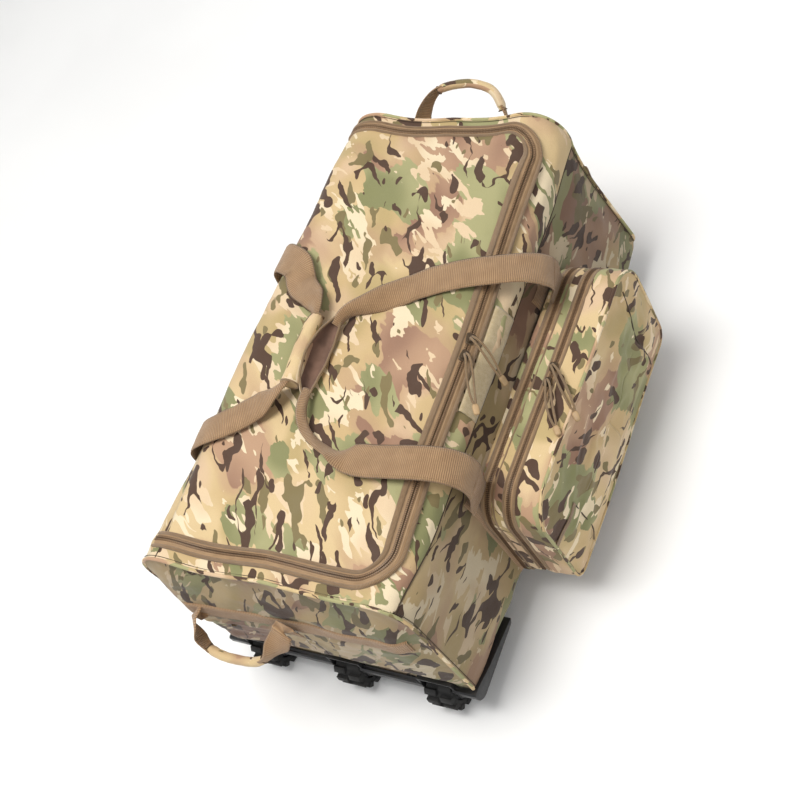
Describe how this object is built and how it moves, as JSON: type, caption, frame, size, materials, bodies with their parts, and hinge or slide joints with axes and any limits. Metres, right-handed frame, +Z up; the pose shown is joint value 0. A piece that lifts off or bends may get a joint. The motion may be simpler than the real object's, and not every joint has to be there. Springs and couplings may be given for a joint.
{
  "type": "rolling duffel bag",
  "caption": "Soft rolling duffel with zipped lid, side pocket, webbing carry handles, rubber wheels in a moulded corner frame and a telescopic pull handle.",
  "frame": {"origin": "middle of the base panel's underside; the wheels and skid feet stand 48 mm below it; the bag lies on its base with the lid up", "axes": "+X from the wheel end to the pull-handle end, +Y towards the lid's hinge side, +Z up; the side pocket faces -Y"},
  "size_m": [0.9457, 0.5297, 0.3746],
  "materials": {
    "camo_fabric": null,
    "base_fabric": "woven polyester",
    "lining": "smooth lining",
    "board": "matt",
    "webbing": "ribbed webbing",
    "zipper_tape": "zipper tape with moulded coil",
    "loop_pile": "loop pile",
    "slider_metal": "painted zinc",
    "pull_cord": "cord with moulded tip",
    "black_plastic": "satin moulded",
    "rubber": "matt",
    "steel": "bright",
    "aluminium": "anodised"
  },
  "bodies": {
    "body": {"base_panel": "base_fabric", "base_board": "board", "wheel_end_panel": "camo_fabric", "handle_end_panel": "camo_fabric", "near_side_panel": "camo_fabric", "far_side_panel": "camo_fabric", "top_border_band": "camo_fabric", "main_zipper_border_half": "zipper_tape", "body_webbing_handle_end": "webbing", "body_webbing_wheel_end": "webbing", "loop_patch": "loop_pile", "wheel_end_band": "webbing", "handle_end_band": "webbing", "pocket_gusset": "camo_fabric", "pocket_base_zipper": "zipper_tape", "pocket_zipper_bag_half": "zipper_tape", "wheel_frame": "black_plastic", "wheel_axle": "steel", "skid_rail_near": "black_plastic", "skid_rail_far": "black_plastic", "outer_tube_near": "aluminium", "outer_tube_far": "aluminium", "handle_cup": "black_plastic", "trolley_cover": "lining"},
    "lid": {"lid_panel": "camo_fabric", "main_zipper_lid_half": "zipper_tape"},
    "pocket_front": {"pocket_cover": "camo_fabric", "pocket_zipper_cover_half": "zipper_tape"},
    "wheel_near": {"tyre_near": "rubber", "wheel_hub_near": "black_plastic"},
    "wheel_middle": {"tyre_middle": "rubber", "wheel_hub_middle": "black_plastic"},
    "wheel_far": {"tyre_far": "rubber", "wheel_hub_far": "black_plastic"},
    "pull_stage_mid": {"mid_tube_near": "aluminium", "mid_tube_far": "aluminium"},
    "pull_stage_grip": {"inner_tube_near": "aluminium", "inner_tube_far": "aluminium", "pull_grip": "black_plastic"},
    "release": {"release_button": "black_plastic"},
    "near_legs": {"near_leg_handle_end": "webbing", "near_leg_wheel_end": "webbing"},
    "near_loop": {"near_handle_webbing": "webbing", "near_handle_grip": "camo_fabric"},
    "far_legs": {"far_leg_handle_end": "webbing", "far_leg_wheel_end": "webbing"},
    "far_loop": {"far_handle_webbing": "webbing", "far_handle_grip": "camo_fabric"},
    "top_handle": {"top_handle_webbing": "webbing", "top_handle_sleeve": "camo_fabric"},
    "wheel_end_handle": {"wheel_end_handle_webbing": "webbing", "wheel_end_handle_sleeve": "camo_fabric"},
    "main_slider_w": {"main_slider_wheel_end": "slider_metal"},
    "main_slider_h": {"main_slider_handle_end": "slider_metal"},
    "main_pull_w": {"main_pull_wheel_end": "pull_cord"},
    "main_pull_h": {"main_pull_handle_end": "pull_cord"},
    "pocket_slider_w": {"pocket_slider_wheel_end": "slider_metal"},
    "pocket_slider_h": {"pocket_slider_handle_end": "slider_metal"},
    "pocket_pull_w": {"pocket_pull_wheel_end": "pull_cord"},
    "pocket_pull_h": {"pocket_pull_handle_end": "pull_cord"}
  },
  "joints": [
    {"name": "lid_open", "type": "hinge", "parent": "body", "child": "lid", "pos_m": [0, 0.15, 0.289], "axis": [-1, 0, 0], "range_deg": [0, 105]},
    {"name": "near_handle_legs_out", "type": "hinge", "parent": "body", "child": "near_legs", "pos_m": [0, -0.2145, 0.198], "axis": [1, 0, 0], "range_deg": [0, 95], "deforming": ["near_leg_handle_end", "near_leg_wheel_end"]},
    {"name": "near_handle_loop_out", "type": "hinge", "parent": "near_legs", "child": "near_loop", "pos_m": [0, -0.2145, 0.293], "axis": [1, 0, 0], "range_deg": [0, 125], "deforming": ["near_handle_webbing", "near_handle_grip"]},
    {"name": "far_handle_legs_out", "type": "hinge", "parent": "body", "child": "far_legs", "pos_m": [0, 0.2145, 0.198], "axis": [-1, 0, 0], "range_deg": [0, 165], "deforming": ["far_leg_handle_end", "far_leg_wheel_end"]},
    {"name": "far_handle_loop_out", "type": "hinge", "parent": "far_legs", "child": "far_loop", "pos_m": [0, 0.2145, 0.293], "axis": [-1, 0, 0], "range_deg": [0, 75], "deforming": ["far_handle_webbing", "far_handle_grip"]},
    {"name": "main_slider_wheel_end_run", "type": "slide", "parent": "body", "child": "main_slider_w", "axis": [-0.9993, -0.036, -0.0115], "range_m": [0, 0.26]},
    {"name": "main_slider_handle_end_run", "type": "slide", "parent": "body", "child": "main_slider_h", "axis": [0.9993, 0.036, 0.0115], "range_m": [0, 0.26]},
    {"name": "main_pull_wheel_end_swing", "type": "hinge", "parent": "main_slider_w", "child": "main_pull_w", "pos_m": [-0.014, -0.17, 0.296], "axis": [-1, 0, 0], "range_deg": [0, 60]},
    {"name": "main_pull_handle_end_swing", "type": "hinge", "parent": "main_slider_h", "child": "main_pull_h", "pos_m": [0.012, -0.169, 0.296], "axis": [-1, 0, 0], "range_deg": [0, 60]},
    {"name": "pocket_open", "type": "hinge", "parent": "body", "child": "pocket_front", "pos_m": [0, -0.251, 0.004], "axis": [1, 0, 0], "range_deg": [0, 40]},
    {"name": "pocket_slider_wheel_end_run", "type": "slide", "parent": "body", "child": "pocket_slider_w", "axis": [-1, 0, 0], "range_m": [0, 0.14]},
    {"name": "pocket_slider_handle_end_run", "type": "slide", "parent": "body", "child": "pocket_slider_h", "axis": [1, 0, 0], "range_m": [0, 0.14]},
    {"name": "pocket_pull_wheel_end_swing", "type": "hinge", "parent": "pocket_slider_w", "child": "pocket_pull_w", "pos_m": [0.006, -0.254, 0.2058], "axis": [0, 0, -1], "range_deg": [0, 38]},
    {"name": "pocket_pull_handle_end_swing", "type": "hinge", "parent": "pocket_slider_h", "child": "pocket_pull_h", "pos_m": [0.03, -0.26, 0.2058], "axis": [0, 0, 1], "range_deg": [0, 35]},
    {"name": "wheel_near_spin", "type": "hinge", "parent": "body", "child": "wheel_near", "pos_m": [-0.364, -0.152, -0.01], "axis": [0, 1, 0], "continuous": true},
    {"name": "wheel_middle_spin", "type": "hinge", "parent": "body", "child": "wheel_middle", "pos_m": [-0.364, 0, -0.01], "axis": [0, 1, 0], "continuous": true},
    {"name": "wheel_far_spin", "type": "hinge", "parent": "body", "child": "wheel_far", "pos_m": [-0.364, 0.152, -0.01], "axis": [0, 1, 0], "continuous": true},
    {"name": "pull_handle_first_stage", "type": "slide", "parent": "body", "child": "pull_stage_mid", "axis": [1, 0, 0], "range_m": [0, 0.19]},
    {"name": "pull_handle_second_stage", "type": "slide", "parent": "pull_stage_mid", "child": "pull_stage_grip", "axis": [1, 0, 0], "range_m": [0, 0.19]},
    {"name": "release_button_press", "type": "slide", "parent": "pull_stage_grip", "child": "release", "axis": [-1, 0, 0], "range_m": [0, 0.004], "stiffness_N_per_m": 400},
    {"name": "top_handle_swing", "type": "hinge", "parent": "body", "child": "top_handle", "pos_m": [0.3868, 0.028, 0.168], "axis": [0, 1, 0], "range_deg": [-35, 40], "deforming": ["top_handle_webbing", "top_handle_sleeve"]},
    {"name": "wheel_end_handle_swing", "type": "hinge", "parent": "body", "child": "wheel_end_handle", "pos_m": [-0.3846, 0.081, 0.168], "axis": [0, 1, 0], "range_deg": [0, 80], "deforming": ["wheel_end_handle_webbing", "wheel_end_handle_sleeve"]}
  ],
  "couplings": [
    {"joint": "near_handle_legs_out", "follows": "lid_open", "ratio": 0.90475},
    {"joint": "near_handle_loop_out", "follows": "lid_open", "ratio": 1.1905},
    {"joint": "far_handle_legs_out", "follows": "lid_open", "ratio": 1.5714},
    {"joint": "far_handle_loop_out", "follows": "lid_open", "ratio": 0.71428},
    {"joint": "main_slider_wheel_end_run", "follows": "lid_open", "m_per_rad": 0.14187},
    {"joint": "main_slider_handle_end_run", "follows": "lid_open", "m_per_rad": 0.14187},
    {"joint": "pocket_slider_wheel_end_run", "follows": "pocket_open", "m_per_rad": 0.20053},
    {"joint": "pocket_slider_handle_end_run", "follows": "pocket_open", "m_per_rad": 0.20053}
  ]
}
